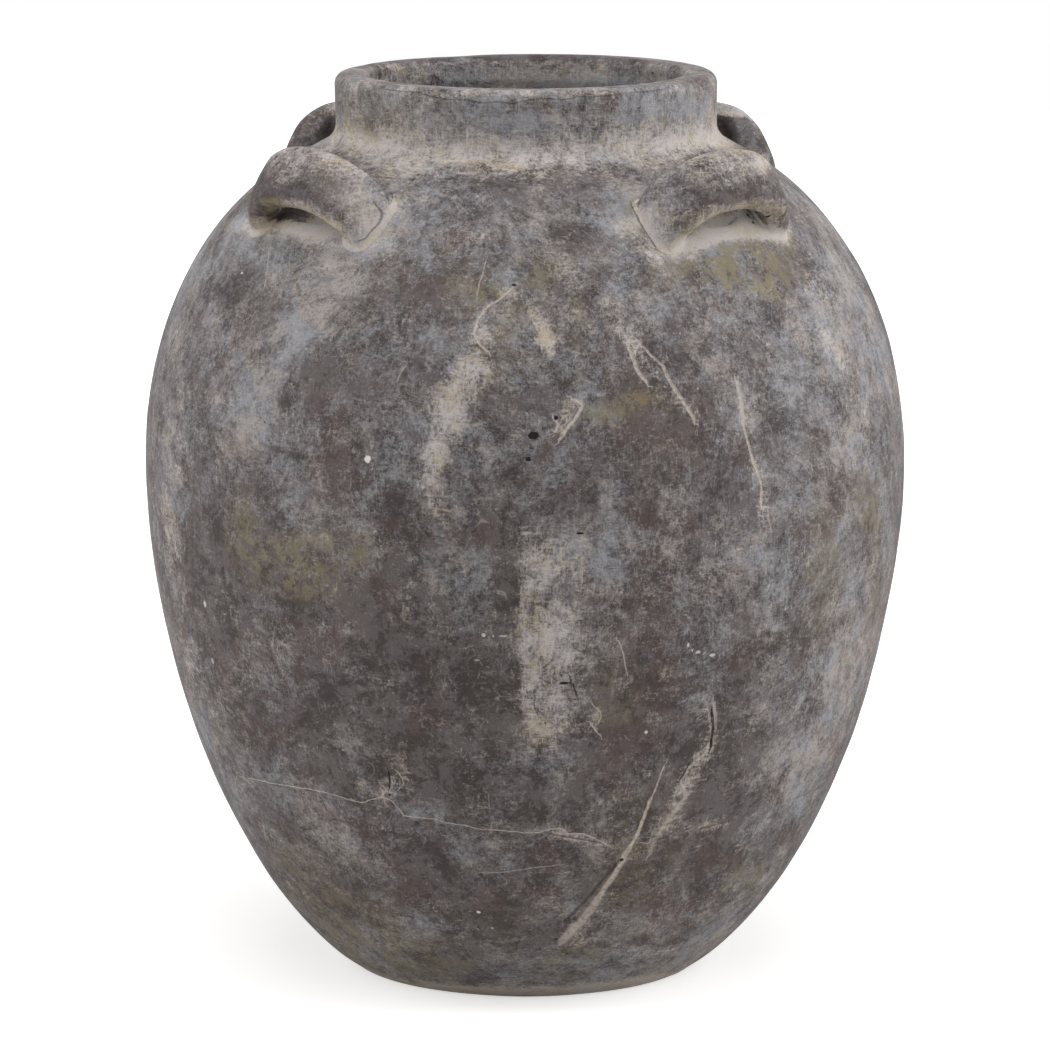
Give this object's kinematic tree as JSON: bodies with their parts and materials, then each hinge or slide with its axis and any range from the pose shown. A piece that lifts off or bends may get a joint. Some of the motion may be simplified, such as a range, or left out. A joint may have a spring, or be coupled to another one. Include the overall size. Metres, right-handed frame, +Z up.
{
  "type": "storage jar",
  "caption": "Round-bellied fired-clay storage jar with a short upright collar and strap lug handles on its shoulder.",
  "frame": {"origin": "centre of the flat underside, on the ground", "axes": "+Z up along the jar's axis of turning; +X, -X, +Y and -Y each point out over one of the four handles, to within 4 degrees"},
  "size_m": [0.355, 0.355, 0.42],
  "materials": {
    "wall_clay": "matte, weathered grey-brown fired clay with pale slip",
    "collar_clay": "matte, weathered fired clay with a pale slip band at its foot",
    "handle_clay": "matte, weathered grey-brown fired clay"
  },
  "bodies": {
    "root": {"floor_slab": "wall_clay", "foot_wall": "wall_clay", "belly_wall": "wall_clay", "shoulder_wall": "wall_clay", "collar": "collar_clay", "handle_front_left": "handle_clay", "handle_front_right": "handle_clay", "handle_back_right": "handle_clay", "handle_back_left": "handle_clay"}
  },
  "joints": []
}
